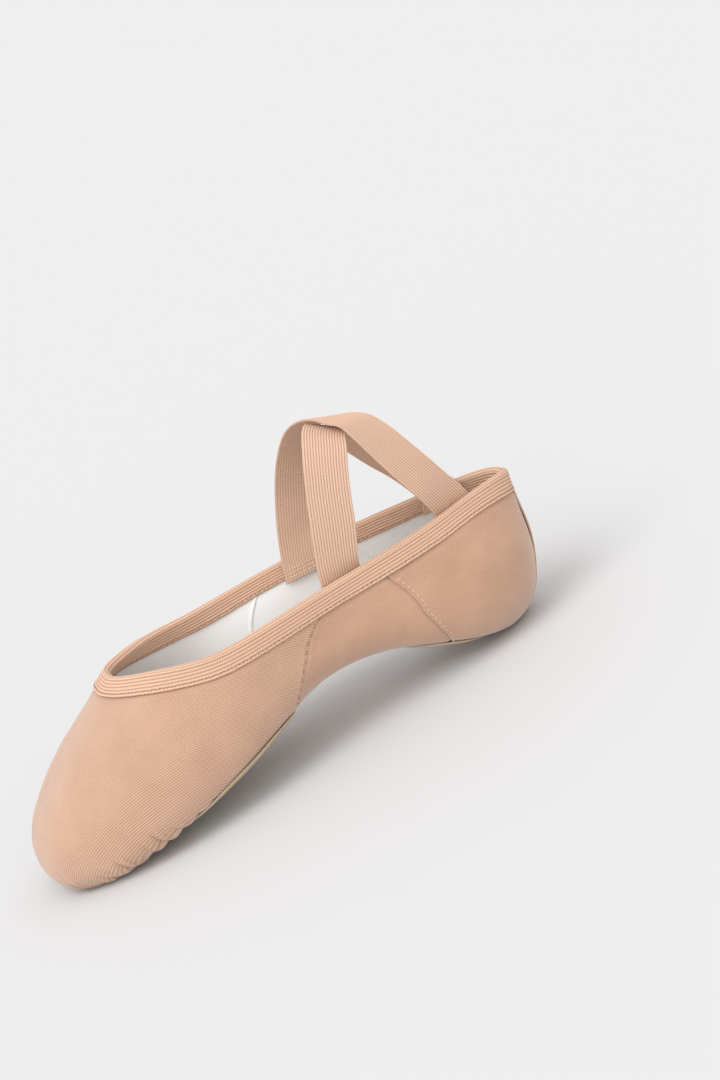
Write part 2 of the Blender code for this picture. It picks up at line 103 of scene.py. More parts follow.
# ---- seams -------------------------------------------------------------------------------------------
SEAM_HEIGHTS = (0.0, 0.8, 1.5, 2.0, 2.5, 3.0)
VAMP_SEAM = {1: (5.45, 5.40, 5.00, 4.52, 4.20, 4.06), -1: (5.45, 5.42, 5.20, 4.92, 4.68, 4.50)}
HEEL_SEAM = {1: (2.10, 2.22, 2.52, 2.86, 3.18, 3.42), -1: (2.10, 2.22, 2.52, 2.86, 3.18, 3.42)}
BAND = 8.4                       # height of the topline binding, mm

BALL_CENTRE = (147.0, 0.0)
BALL_PATCH = ((181, 0), (178, 19), (168, 32), (150, 37), (128, 35), (111, 28), (105.5, 17), (112, 5),
              (121, -4), (117, -13), (113, -22), (118, -30), (133, -34.5), (151, -36), (168, -31), (178, -18))
BALL_INSOLE = ((201.5, -1), (200, 12), (191, 23.5), (174, 31), (151, 32.3), (127, 28), (113, 21), (110, 7),
               (110, -7), (113, -19), (127, -26), (151, -30.8), (174, -29.8), (191, -24), (200, -13.5))
HEEL_CENTRE = (34.0, 0.0)
HEEL_PATCH = ((57, 0), (54.5, 12), (45, 19.5), (31, 20.5), (19.5, 14), (14, 0), (19.5, -14), (31, -20.5),
              (45, -19.5), (54.5, -12))
HEEL_INSOLE = ((57, 0), (55, 11), (46, 15.3), (30, 15.8), (16, 10.5), (10, 0), (16, -10.5), (30, -15.8),
               (46, -15.3), (55, -11))

# ---- straps ------------------------------------------------------------------------------------------
STRAP_WIDTH, STRAP_THICK = 18.4, 1.0
STRAP_INSET = -4.3               # middle of a sewn strap end, inside the binding
# front and back sewn ends: station number, how far the end runs down below the topline
OUTER_STRAP_ENDS = ((3.78, 12.5), (LOOP - 1.93, 7.0))
INNER_STRAP_ENDS = ((LOOP - 3.95, 8.8), (1.98, 12.5))
# middle line between the ends, standing slipper before SHIFT is added in x and y, mm,
# then the direction across it
OUTER_STRAP = (
    (58.6, 25.3, 70.3, 1.0, 0.0, 0.07),
    (53.9, 26.0, 83.2, 0.95, 0.0, 0.32),
    (49.3, 24.3, 94.9, 0.91, 0.0, 0.41),
    (44.4, 20.5, 104.8, 0.87, 0.0, 0.50),
    (40.0, 14.5, 111.1, 0.80, -0.25, 0.54),
    (37.1, 9.0, 114.2, 0.77, -0.26, 0.52),
    (33.8, 4.0, 113.9, 0.77, -0.26, 0.52),
    (29.3, -2.0, 107.1, 0.83, -0.22, 0.52),
    (24.4, -7.5, 96.8, 0.80, -0.55, 0.24),
    (17.5, -11.0, 84.8, 0.82, -0.57, 0.06),
    (10.6, -13.0, 73.4, 0.85, -0.53, 0.03),
)
INNER_STRAP = (
    (61.6, -25.3, 74.2, 0.97, 0.0, 0.24),
    (56.5, -24.7, 85.5, 0.93, 0.0, 0.36),
    (51.6, -22.0, 96.5, 0.87, 0.17, 0.47),
    (47.4, -18.0, 105.6, 0.78, 0.37, 0.50),
    (43.1, -12.5, 112.7, 0.70, 0.51, 0.50),
    (38.5, -6.0, 116.6, 0.63, 0.62, 0.47),
    (33.1, -0.5, 116.7, 0.66, 0.63, 0.42),
    (28.0, 4.5, 114.4, 0.73, 0.58, 0.28),
    (23.7, 8.0, 111.5, 0.78, 0.54, 0.27),
    (20.2, 11.0, 104.2, 0.85, 0.50, 0.18),
    (17.1, 13.0, 95.4, 0.88, 0.46, 0.10),
    (13.1, 14.5, 84.1, 0.89, 0.45, 0.04),
    (9.1, 14.5, 73.0, 0.87, 0.49, -0.01),
)


# ---- shape functions ---------------------------------------------------------------------------------
def spline_weights(count):
    """Control points of a closed cubic B-spline that passes through count keys."""
    grid = np.eye(count) * 4.0
    for i in range(count):
        grid[i, (i + 1) % count] += 1.0
        grid[i, (i - 1) % count] += 1.0
    return np.linalg.inv(grid / 6.0)


def closed_curve(keys, s):
    """Smooth closed curve through keys, at station numbers s."""
    keys = np.array(keys, float)
    control = spline_weights(len(keys)) @ keys
    s = np.asarray(s, float)
    i = np.floor(s).astype(int)
    u = (s - i)[..., None]
    basis = ((1 - u) ** 3, 3 * u ** 3 - 6 * u ** 2 + 4, -3 * u ** 3 + 3 * u ** 2 + 3 * u + 1, u ** 3)
    return sum(b * control[(i + k - 1) % len(keys)] for k, b in enumerate(basis)) / 6.0


def open_curve(keys, count):
    """Smooth open curve through keys, resampled to count points."""
    keys = np.array(keys, float)
    keys = np.vstack([2 * keys[0] - keys[1], keys, 2 * keys[-1] - keys[-2]])
    s = np.linspace(0, len(keys) - 3 - 1e-9, count)
    i = s.astype(int)
    u = (s - i)[:, None]
    a, b, c, d = keys[i], keys[i + 1], keys[i + 2], keys[i + 3]
    return b + 0.5 * u * (c - a + u * (2 * a - 5 * b + 4 * c - d + u * (3 * (b - c) + d - a)))


def smooth(a, b, x):
    t = np.clip((x - a) / (b - a), 0.0, 1.0)
    return t * t * (3 - 2 * t)


def bump(x, middle, width):
    return np.exp(-(((x - middle) / width) ** 2))


KEYS = [(x, yo, zw, c, xt, yt, zt) for x, yo, yi, zw, c, xt, yt, zt in STATIONS]
KEYS += [(x, -yi, zw, c, xt, -yt, zt) for x, yo, yi, zw, c, xt, yt, zt in STATIONS[-2:0:-1]]


def form(s, t):
    """Outer face of the straight slipper at station s and height t.

    Height runs 0 centre line, 1 sole edge, 2 widest, 3 topline.
    """
    s, t = np.broadcast_arrays(np.asarray(s, float), np.asarray(t, float))
    x, y, zw, inset, xt, yt, zt = np.moveaxis(closed_curve(KEYS, s), -1, 0)
    xo = HEEL_MIDDLE + (BALL_MIDDLE - HEEL_MIDDLE) * smooth(CENTRE_FROM, CENTRE_TO, x)
    zero = np.zeros_like(x)
    centre = np.stack([xo, zero, zero], -1)
    wide = np.stack([x, y, zw], -1)
    top = np.stack([xt, yt, zt], -1)
    plan = wide - centre
    plan[..., 2] = 0.0
    reach = np.linalg.norm(plan, axis=-1)
    edge = centre + plan * (1 - inset / reach)[..., None]
    flat = centre + (edge - centre) * np.clip(t, 0, 1)[..., None]
    turn = (np.clip(t - 1, 0, 1) * math.pi / 2)[..., None]
    corner = edge + (wide - edge) * np.concatenate([np.sin(turn), np.sin(turn), 1 - np.cos(turn)], -1)
    rise = top - wide
    length = np.linalg.norm(rise, axis=-1, keepdims=True)
    lean = rise.copy()
    lean[..., 2] *= 1 - (1 - VAULT) * smooth(20, 40, np.hypot(rise[..., 0], rise[..., 1]))
    lean /= np.linalg.norm(lean, axis=-1, keepdims=True)
    pull_low = wide + rise * np.array([0, 0, WALL_RISE])
    pull_high = top - lean * length * VAULT_PULL
    u = np.clip(t - 2, 0, 1)[..., None]
    low_part = (1 - u) ** 3 * wide + 3 * u * (1 - u) ** 2 * pull_low
    side_wall = low_part + 3 * u * u * (1 - u) * pull_high + u ** 3 * top
    return np.where((t <= 1)[..., None], flat, np.where((t <= 2)[..., None], corner, side_wall))


def outward(s, t):
    """Unit normal of the straight slipper's outer face."""
    s, t = np.broadcast_arrays(np.asarray(s, float), np.asarray(t, float))
    step = 0.01
    low, high = np.maximum(t - step, 1.001), np.minimum(np.maximum(t, 1.001) + step, 3)
    along = form(s + step, np.maximum(t, 1.001)) - form(s - step, np.maximum(t, 1.001))
    up = form(s, high) - form(s, low)
    n = np.cross(along, up)
    n /= np.maximum(np.linalg.norm(n, axis=-1, keepdims=True), 1e-9)
    n = np.where((np.sum(n * (form(s, t) - np.array([95.0, 0, 25.0])), -1) < 0)[..., None], -n, n)
    return np.where((t <= 1.001)[..., None], np.array([0.0, 0.0, -1.0]), n)


def spine():
    x = np.linspace(-60, 320, 3801)
    a = ARCH_BEND * smooth(ARCH_FRONT, ARCH_BACK, x)
    step = x[1] - x[0]
    run = np.concatenate([[0], np.cumsum((np.cos(a[1:]) + np.cos(a[:-1])) / 2 * step)])
    drop = np.concatenate([[0], np.cumsum((np.sin(a[1:]) + np.sin(a[:-1])) / 2 * step)])
    i = np.searchsorted(x, ARCH_FRONT)
    return x, run - run[i] + ARCH_FRONT, drop - drop[i], a


SPINE = spine()


def stand(p):
    """Bends points of the straight slipper about the arch and stands it on the floor."""
    x, run, drop, angle = SPINE
    p = np.asarray(p, float)
    a = np.interp(p[..., 0], x, angle)
    bx = np.interp(p[..., 0], x, run) - np.sin(a) * p[..., 2]
    bz = np.interp(p[..., 0], x, drop) + np.cos(a) * p[..., 2]
    c, k = math.cos(PITCH), math.sin(PITCH)
    return np.stack([c * bx + k * bz, p[..., 1], -k * bx + c * bz], -1) + np.array(SHIFT)


def wall(s, t, offset):
    return form(s, t) + outward(s, t) * np.asarray(offset, float)[..., None]


DEPTH_T = np.linspace(3, 1, 121)
DEPTH_S = np.arange(0, LOOP + 0.01, 0.1)
DEPTH_LINES = form(DEPTH_S[:, None], DEPTH_T[None, :])
DEPTH_RUN = np.concatenate([np.zeros((len(DEPTH_S), 1)),
                            np.cumsum(np.linalg.norm(np.diff(DEPTH_LINES, axis=1), axis=2), axis=1)], axis=1)


def height_at(s, depth):
    """Height on the wall's 0..3 scale at a distance down the wall from the topline."""
    s, depth = np.broadcast_arrays(np.asarray(s, float) % LOOP, np.asarray(depth, float))
    i = np.clip((s / 0.1).astype(int), 0, len(DEPTH_S) - 2)
    u = s / 0.1 - i
    out = np.empty(s.shape)
    for k in np.ndindex(s.shape):
        run = DEPTH_RUN[i[k]] * (1 - u[k]) + DEPTH_RUN[i[k] + 1] * u[k]
        out[k] = np.interp(max(depth[k], 0.0), run, DEPTH_T)
    return out


def depth_at(s, t):
    """Distance down the wall from the topline to height t."""
    s, t = np.broadcast_arrays(np.asarray(s, float) % LOOP, np.asarray(t, float))
    i = np.clip((s / 0.1).astype(int), 0, len(DEPTH_S) - 2)
    u = s / 0.1 - i
    at = np.clip((3 - t) / 2 * (len(DEPTH_T) - 1), 0, len(DEPTH_T) - 1.001)
    j = at.astype(int)
    v = at - j
    run = DEPTH_RUN
    low = run[i, j] * (1 - u) + run[i + 1, j] * u
    high = run[i, j + 1] * (1 - u) + run[i + 1, j + 1] * u
    return low * (1 - v) + high * v


def below_topline(s, depth, offset):
    """Points of the wall at a distance below the topline, down the wall; above it if depth is negative."""
    s, depth, offset = np.broadcast_arrays(*(np.asarray(value, float) for value in (s, depth, offset)))
    top, lower = form(s, 3.0), form(s, 2.975)
    down = (lower - top) / np.linalg.norm(lower - top, axis=-1, keepdims=True)
    return wall(s, height_at(s, depth), offset) + down * np.minimum(depth, 0.0)[..., None]


def seam(stations, t):
    return np.interp(t, SEAM_HEIGHTS, stations)


def pace(s, t):
    """Length of one station along the wall, mm."""
    return np.maximum(np.linalg.norm(form(s + 0.01, t) - form(s - 0.01, t), axis=-1) / 0.02, 4.0)


def ring_length(t):
    """Distance round the slipper from the back seam to each station, at height t."""
    s = np.linspace(0, LOOP, 441)
    p = form(s, t)
    return s, np.concatenate([[0], np.cumsum(np.linalg.norm(np.diff(p, axis=0), axis=1))])


RING_S, RING_RUN = ring_length(2.0)
TOP_S, TOP_RUN = ring_length(3.0)
RIDGE = form(TOE, np.linspace(2, 3, 40))     # the vamp's middle line, toe to throat


def cloth_plan(s, t):
    """Place on the vamp's cloth, mm: along the slipper, and round it from its middle."""
    p = form(s, t)
    crest = np.interp(-p[..., 0], -RIDGE[:, 0], RIDGE[:, 2])
    side = np.where(s <= TOE, 1.0, -1.0)
    girth = np.hypot(p[..., 1], np.maximum(crest - p[..., 2], 0.0))
    return np.stack([p[..., 0], side * girth], -1)


def ring_plan(s, t):
    """Place on a side panel, mm: round the heel and up."""
    p = form(s, t)
    return np.stack([np.interp(s, RING_S, RING_RUN), p[..., 2] + 0 * p[..., 0]], -1)


def soft_noise(p, scale, seed):
    """Smooth noise at points p, from about -1 to 1, with features of the given size in mm."""
    flat = p.reshape(-1, 3) / scale + seed * 17.3
    return np.array([noise.noise(Vector(q)) for q in flat]).reshape(p.shape[:-1]) * 1.6


# ---- meshes ------------------------------------------------------------------------------------------
PIECES = bpy.data.collections.new("ballet_slipper_looks")
bpy.context.scene.collection.children.link(PIECES)


def grid_faces(rows, columns, close_rows=False, close_columns=False, start=0, flip=False):
    i, j = np.meshgrid(np.arange(rows if close_rows else rows - 1),
                       np.arange(columns if close_columns else columns - 1), indexing="ij")
    k, m = (i + 1) % rows, (j + 1) % columns
    corners = [i * columns + j, i * columns + m, k * columns + m, k * columns + j]
    quads = np.stack(corners, -1).reshape(-1, 4) + start
    return quads[:, ::-1] if flip else quads


def make(name, slot, points, faces, uv=None, weld=False):
    """One piece from standing points in mm, with uv in mm per point."""
    points = np.asarray(points, float).reshape(-1, 3) * MM
    mesh = bpy.data.meshes.new(name)
    mesh.from_pydata(points.tolist(), [], [list(map(int, f)) for f in faces])
    if uv is not None:
        layer = mesh.uv_layers.new(name="cloth")
        corner = np.empty(len(mesh.loops), int)
        mesh.loops.foreach_get("vertex_index", corner)
        layer.data.foreach_set("uv", np.asarray(uv, float).reshape(-1, 2)[corner].ravel())
    if weld:
        bm = bmesh.new()
        bm.from_mesh(mesh)
        bmesh.ops.remove_doubles(bm, verts=bm.verts, dist=0.000002)
        bmesh.ops.dissolve_degenerate(bm, edges=bm.edges, dist=0.000001)
        bm.to_mesh(mesh)
        bm.free()
    mesh.shade_smooth()
    mesh.materials.append(bpy.data.materials[slot])
    ob = bpy.data.objects.new(name, mesh)
    PIECES.objects.link(ob)
    return ob


def slab(outer, inner, flip=False):
    """Closed slab between two like grids of points: points and faces."""
    rows, columns = outer.shape[:2]
    count = rows * columns
    index = np.arange(count).reshape(rows, columns)
    rim = np.concatenate([index[0, :], index[1:, -1], index[-1, -2::-1], index[-2:0:-1, 0]])
    after = np.roll(rim, -1)
    wall_faces = np.stack([after, rim, rim + count, after + count], -1)
    back_faces = grid_faces(rows, columns, start=count, flip=True)
    faces = np.concatenate([grid_faces(rows, columns), back_faces, wall_faces])
    if flip:
        faces = faces[:, ::-1]
    return np.concatenate([outer.reshape(-1, 3), inner.reshape(-1, 3)]), faces


def soft(ob, *nodes, slot, rigid=None):
    """Hooks a finished piece to the bodies: rides on one body, or has its transform baked where it stands."""
    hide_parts(*nodes)
    if rigid:
        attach(ob, rigid)
    else:
        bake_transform(ob)
    return ob


# ---- materials ---------------------------------------------------------------------------------------
class Nodes:
    """Small helper for building one node material."""

    def __init__(self, name):
        self.mat = bpy.data.materials.new(name)
        self.mat.use_nodes = True
        self.tree = self.mat.node_tree
        self.shader = self.tree.nodes["Principled BSDF"]

    def add(self, kind, **values):
        node = self.tree.nodes.new(kind)
        for key, value in values.items():
            if hasattr(node, key):
                setattr(node, key, value)
            else:
                node.inputs[key.replace("_", " ")].default_value = value
        return node

    def link(self, source, target):
        self.tree.links.new(source, target)

    def math(self, operation, a, b=None):
        node = self.add("ShaderNodeMath", operation=operation)
        for socket, value in zip(node.inputs, (a, b)):
            if value is None:
                continue
            if isinstance(value, (int, float)):
                socket.default_value = value
            else:
                self.link(value, socket)
        return node.outputs[0]

    def mix(self, factor, a, b):
        node = self.add("ShaderNodeMix", data_type="RGBA")
        for socket, value in ((node.inputs[0], factor), (node.inputs[6], a), (node.inputs[7], b)):
            if isinstance(value, (int, float)):
                socket.default_value = value
            elif isinstance(value, tuple):
                socket.default_value = (*value, 1.0)
            else:
                self.link(value, socket)
        return node.outputs[2]

    def noise(self, size, detail=3.0, roughness=0.55):
        """Noise in place, with features of the given size in mm."""
        if not hasattr(self, "place"):
            self.place = self.add("ShaderNodeTexCoord")
        node = self.add("ShaderNodeTexNoise", Scale=1000.0 / size, Detail=detail, Roughness=roughness)
        self.link(self.place.outputs["Object"], node.inputs["Vector"])
        return node.outputs[0]

    def lines(self, pitch, angle, wobble=0.4):
        """Parallel threads at an angle from the cloth's length, pitch in mm; 0 between them and 1 on them."""
        uv = self.add("ShaderNodeUVMap", uv_map="cloth")
        turn = self.add("ShaderNodeMapping")
        turn.inputs["Rotation"].default_value[2] = math.radians(angle)
        self.link(uv.outputs[0], turn.inputs[0])
        wave = self.add("ShaderNodeTexWave", bands_direction="Y", Scale=math.pi / 10 / pitch,
                        Distortion=wobble, Detail=2.0)
        wave.inputs["Detail Scale"].default_value = 2.0
        self.link(turn.outputs[0], wave.inputs["Vector"])
        return wave.outputs["Fac"]

    def finish(self, color, height, distance, rough, sheen=0.0):
        self.link(color, self.shader.inputs["Base Color"])
        self.shader.inputs["Sheen Weight"].default_value = sheen
        self.shader.inputs["Sheen Roughness"].default_value = 0.5
        self.shader.inputs["Specular IOR Level"].default_value = 0.25
        if isinstance(rough, float):
            self.shader.inputs["Roughness"].default_value = rough
        else:
            self.link(rough, self.shader.inputs["Roughness"])
        node = self.add("ShaderNodeBump", Strength=1.0, Distance=distance * MM)
        self.link(height, node.inputs["Height"])
        self.link(node.outputs[0], self.shader.inputs["Normal"])


CANVAS_DEEP, CANVAS_PALE = (0.34, 0.19, 0.118), (0.585, 0.37, 0.26)


def canvas_material(name, angle, pitch, share):
    """Stretch canvas: diagonal twill over a fine grain."""
    m = Nodes(name)
    twill = m.lines(pitch, angle, 1.2)
    weave = m.lines(0.5, angle + 78.0, 0.6)
    grain = m.noise(0.5, 2.0)
    cloudy = m.noise(16.0, 2.0)
    threads = m.math("MULTIPLY", m.math("ADD", twill, m.math("MULTIPLY", weave, 0.3)), share)
    height = m.math("ADD", threads, m.math("MULTIPLY", grain, 0.7))
    shade = m.math("ADD", m.math("MULTIPLY", threads, 0.75), m.math("MULTIPLY", grain, 0.75 - 0.35 * share))
    shade = m.math("ADD", shade, m.math("MULTIPLY", m.math("SUBTRACT", cloudy, 0.5), 0.5))
    m.finish(m.mix(shade, CANVAS_DEEP, CANVAS_PALE), height, 0.15, 0.85, sheen=0.5)


def lining_material():
    m = Nodes("lining")
    threads = m.lines(0.5, 2.0)
    cloudy = m.noise(9.0, 2.0)
    color = m.mix(cloudy, (0.91, 0.93, 0.96), (0.96, 0.975, 0.99))
    m.finish(color, m.math("ADD", threads, m.noise(0.6)), 0.04, 0.9, sheen=0.1)


def elastic_material(name, deep, pale, cord, stitch, slant, share):
    """Knitted elastic: cords along its length, each a row of small slanted stitches."""
    m = Nodes(name)
    # Stripes darker between the cords: painted shade in the grooves between them.
    painted_groove_shade = m.lines(cord, 0.0, 0.0)
    knit = m.lines(stitch, slant, 0.3)
    grain = m.noise(0.5, 2.0)
    height = m.math("ADD", m.math("MULTIPLY", knit, share), m.math("MULTIPLY", grain, 0.4))
    shade = m.math("ADD", m.math("MULTIPLY", knit, 0.4 * share), m.math("MULTIPLY", grain, 0.25))
    shade = m.math("ADD", shade, m.math("MULTIPLY", painted_groove_shade, 0.6))
    m.finish(m.mix(shade, deep, pale), height, 0.12, 0.78, sheen=0.12)


def suede_material():
    m = Nodes("suede")
    nap = m.noise(0.7, 4.0, 0.7)
    patchy = m.noise(7.0, 3.0)
    mix = m.math("ADD", m.math("MULTIPLY", nap, 0.7), m.math("MULTIPLY", patchy, 0.45))
    color = m.mix(mix, (0.22, 0.18, 0.115), (0.50, 0.425, 0.30))
    m.finish(color, nap, 0.25, 0.95, sheen=0.3)


def plain_material(name, deep, pale, size, height, rough):
    m = Nodes(name)
    grain = m.noise(size, 3.0)
    m.finish(m.mix(grain, deep, pale), grain, height, rough)


canvas_material("canvas_vamp", 20.0, 0.74, 1.0)
canvas_material("canvas_side", 48.0, 0.7, 0.35)
lining_material()
elastic_material("binding_elastic", (0.35, 0.185, 0.115), (0.70, 0.48, 0.35), 1.4, 0.95, 60.0, 0.7)
elastic_material("strap_elastic", (0.42, 0.255, 0.172), (0.70, 0.48, 0.365), 1.15, 0.85, 90.0, 0.7)
suede_material()
plain_material("thread", (0.40, 0.24, 0.155), (0.58, 0.38, 0.27), 0.4, 0.05, 0.6)
# Darker stitch thread, painted shade of the stitch holes along the vamp seams and the binding's zigzag.
plain_material("thread_painted_shade", (0.24, 0.13, 0.08), (0.38, 0.23, 0.155), 0.4, 0.05, 0.7)
plain_material("patch_thread", (0.20, 0.16, 0.10), (0.38, 0.31, 0.21), 0.4, 0.05, 0.7)
plain_material("insole", (0.60, 0.55, 0.48), (0.74, 0.70, 0.64), 0.9, 0.08, 0.92)

# ---- canvas upper ------------------------------------------------------------------------------------
EDGE_MM = np.array([0.02, 0.2, 0.4, 0.65, 0.95, 1.3, 1.6, 1.9, 2.3, 2.9, 3.8])
# station and strength of each tuck that gathers the toe under the sole
PLEATS = (
    (6.6, 0.3), (7, 0.55), (7.35, 0.6), (7.7, 0.75), (8.03, 1.3), (8.43, 0.6), (8.8, 1.2),
    (9.2, 1.25), (9.52, 0.7), (9.85, 1.2), (10.2, 0.8), (10.52, 1), (10.85, 0.8), (11.2, 1),
    (11.52, 0.8), (11.87, 1.1), (12.2, 0.75), (12.55, 1.1), (12.93, 0.8), (13.3, 1.15), (13.7, 0.8),
    (14.1, 0.9), (14.5, 0.6), (14.95, 0.5), (15.4, 0.3),
)


def rows_of(top, count_wall, count_corner, count_flat):
    return np.concatenate([np.linspace(top, 2, count_wall, endpoint=False),
                           np.linspace(2, 1, count_corner, endpoint=False), np.linspace(1, 0, count_flat)])


def panel_s(t, first, last, steps):
    """Station numbers across a panel at height t, closer together beside its seams."""
    ends = []
    for way, line in ((1, first), (-1, last)):
        if isinstance(line, tuple):
            s = float(seam(line, t))
            ends.append(s + way * EDGE_MM / pace(s, t))
        else:
            ends.append(np.array([line]))
    near, far = ends[0], ends[1][::-1]
    return np.concatenate([near, np.linspace(near[-1], far[0], steps + 2)[1:-1], far])


def seam_distance(s, t, stations):
    """Distance in mm from a seam, positive towards the toe."""
    at = seam(stations, t)
    return (s - at) * pace(at, t)


def pleat_relief(s, t):
    """Gathers that take the toe under the sole: round between sharp tucks, deepest at the patch."""
    at, strength = np.array(PLEATS).T
    lean = 0.05 * np.sin(at * 9.1)
    place = s - np.interp(s, at, lean) * (t - 1.2)
    phase = np.interp(place, at, np.arange(len(at)))
    near = np.round(phase).astype(int)
    power = strength[near]
    reach = 1.28 + 0.42 * power + 0.14 * np.sin(near * 2.3)
    held = smooth(0.42, 0.75, t) * smooth(reach + 0.25, reach - 0.45, t) * (0.35 + 0.65 * power)
    ridge = np.abs(np.sin(math.pi * phase)) ** 0.45
    inside = (place > at[0]) & (place < at[-1])
    fold = np.maximum(2.6 * held * (ridge - 0.66), -1.25)
    return np.where(inside, fold, 0.0) * smooth(148, 166, form(s, t)[..., 0])


def upper_relief(s, t, side, panel):
    """How far the canvas stands out from the smooth form, mm."""
    p = form(s, t)
    relief = 0.35 * soft_noise(p, 26.0, 1) + 0.12 * soft_noise(p, 9.0, 2)
    relief *= smooth(0.9, 1.4, t)
    depth = depth_at(s, np.maximum(t, 1.0))
    relief += 0.3 * bump(depth, BAND + 3.2, 2.6) - 0.25 * bump(depth, BAND - 1.0, 2.0)
    folded = s if side > 0 else LOOP - s
    front = seam_distance(folded, t, VAMP_SEAM[side])
    back = seam_distance(folded, t, HEEL_SEAM[side])
    ripple = 0.10 * np.sin(depth * 2 * math.pi / 3.8)
    relief -= 0.30 * bump(front, 0, 0.4) + 0.55 * bump(back, 0, 0.4)
    relief -= 0.12 * bump(front, 0.9, 0.4)
    relief += 0.25 * bump(front, 2.2, 1.1) + (0.10 - ripple) * bump(front, -1.3, 1.1)
    relief += 0.35 * bump(back, -1.0, 0.55) - 0.18 * bump(back, -1.9, 0.4) - 0.25 * bump(back, 0.6, 0.7)
    if panel == "vamp":
        relief += pleat_relief(s, t)
    if panel == "heel":
        back_seam = folded * pace(folded, t)
        relief -= 0.5 * bump(back_seam, 0, 0.7)
    return relief


def upper_panel(name, nodes, first, last, steps, rows, panel, material, plan, sides=(1, -1), rigid=None):
    """Canvas panel as a closed slab; with both sides it runs down one wall, under the sole and up again."""
    halves = []
    for side in sides:
        s = np.array([panel_s(t, first[side] if isinstance(first, dict) else first,
                              last[side] if isinstance(last, dict) else last, steps) for t in rows])
        t = np.repeat(rows[:, None], s.shape[1], axis=1)
        s = s if side > 0 else LOOP - s
        relief = upper_relief(s, t, side, panel)
        outer = wall(s, t, relief)
        inner = wall(s, t, np.minimum(relief, 0.0) * 0.6 - 0.95)
        if panel == "heel":
            for grid in (outer, inner):
                grid[..., 1] = side * np.maximum(side * grid[..., 1], 0.02)
        halves.append((outer, inner, plan(s, t)))
    if len(halves) == 2:
        join = [np.concatenate([a, b[-2::-1]]) for a, b in zip(*halves)]
    else:
        join = halves[0]
    points, faces = slab(stand(join[0]), stand(join[1]), flip=sides == (-1,))
    ob = make(name, material, points, faces, np.concatenate([join[2].reshape(-1, 2)] * 2), weld=True)
    return soft(ob, *nodes, slot="canvas", rigid=rigid)


UPPER_ROWS = rows_of(2.985, 56, 40, 16)
upper_panel("looks_vamp_canvas", ["vamp_canvas"], VAMP_SEAM, TOE, 300, UPPER_ROWS, "vamp",
            "canvas_vamp", cloth_plan)
upper_panel("looks_arch_panel", ["arch_panel"], HEEL_SEAM, VAMP_SEAM, 34, UPPER_ROWS, "arch",
            "canvas_side", ring_plan)
for word, side in (("outer", 1), ("inner", -1)):
    upper_panel("looks_heel_panel_" + word, ["heel_panel_" + word], 0.0, HEEL_SEAM, 70, UPPER_ROWS, "heel",
                "canvas_side", ring_plan, sides=(side,))


# ---- lining ------------------------------------------------------------------------------------------
def lining_panel(name, node, first, last, steps):
    rows = rows_of(2.985, 26, 18, 8)
    halves = []
    for side in (1, -1):
        s = np.array([panel_s(t, first[side] if isinstance(first, dict) else first,
                              last[side] if isinstance(last, dict) else last, steps) for t in rows])
        t = np.repeat(rows[:, None], s.shape[1], axis=1)
        folded = s
        s = s if side > 0 else LOOP - s
        p = form(s, t)
        relief = 0.18 * soft_noise(p, 12.0, 5) * smooth(1.0, 1.4, t)
        front = seam_distance(folded, t, VAMP_SEAM[side])
        relief -= 0.55 * bump(front, 0.9, 0.8) - 0.35 * bump(front, 0, 0.25)
        inner = wall(s, t, np.minimum(relief, 0.25) - 2.15)
        outer = wall(s, t, np.full(s.shape, -1.45))
        halves.append((outer, inner, ring_plan(s, t)))
    join = [np.concatenate([a, b[-2::-1]]) for a, b in zip(*halves)]
    points, faces = slab(stand(join[0]), stand(join[1]))
    ob = make(name, "lining", points, faces, np.concatenate([join[2].reshape(-1, 2)] * 2), weld=True)
    return soft(ob, node, slot="lining")


lining_panel("looks_vamp_lining", "vamp_lining", VAMP_SEAM, TOE, 70)
lining_panel("looks_arch_lining", "arch_lining", HEEL_SEAM, VAMP_SEAM, 16)
lining_panel("looks_heel_lining", "heel_lining", 0.0, HEEL_SEAM, 36)


# ---- topline binding ---------------------------------------------------------------------------------
CORD = 1.4         # one knitted cord of the binding, mm
CROWN = 1.3        # height of the fold above the topline
BAND_INNER = 7.2   # how far the inner face reaches down
BAND_OUT, BAND_IN = 0.95, -3.05


def band_section():
    """Outline of the folded elastic: depth below the topline, offset from the canvas, place across it."""
    low = np.linspace(BAND, 0.2, 56)
    cords = np.abs(np.sin(math.pi * (BAND - low) / CORD)) ** 0.6
    outer = [(d, BAND_OUT - 0.34 + 0.34 * c, BAND - d) for d, c in zip(low, cords)]
    turn = np.linspace(0, math.pi, 17)[1:-1]
    middle, half = (BAND_OUT + BAND_IN) / 2, (BAND_OUT - BAND_IN) / 2
    girth = BAND + half * turn * 0.8
    folds = np.abs(np.sin(math.pi * girth / CORD)) ** 0.6
    crown = [(0.2 - (CROWN - 0.2 + 0.2 * c) * math.sin(a), middle + (half - 0.15 + 0.15 * c) * math.cos(a),
              g) for a, g, c in zip(turn, girth, folds)]
    inner = [(d * BAND_INNER / BAND, BAND_IN + 0.3 - 0.3 * c, girth[-1] + d)
             for d, c in zip(low[::-1], cords[::-1])]
    channel = [(BAND_INNER, -2.3, 30.0), (4.0, -2.3, 30.0), (0.3, -2.3, 30.0)]
    channel += [(0.3, 0.12, 30.0), (5.0, 0.12, 30.0), (BAND, 0.12, 30.0)]
    return np.array(outer + crown + inner + channel)


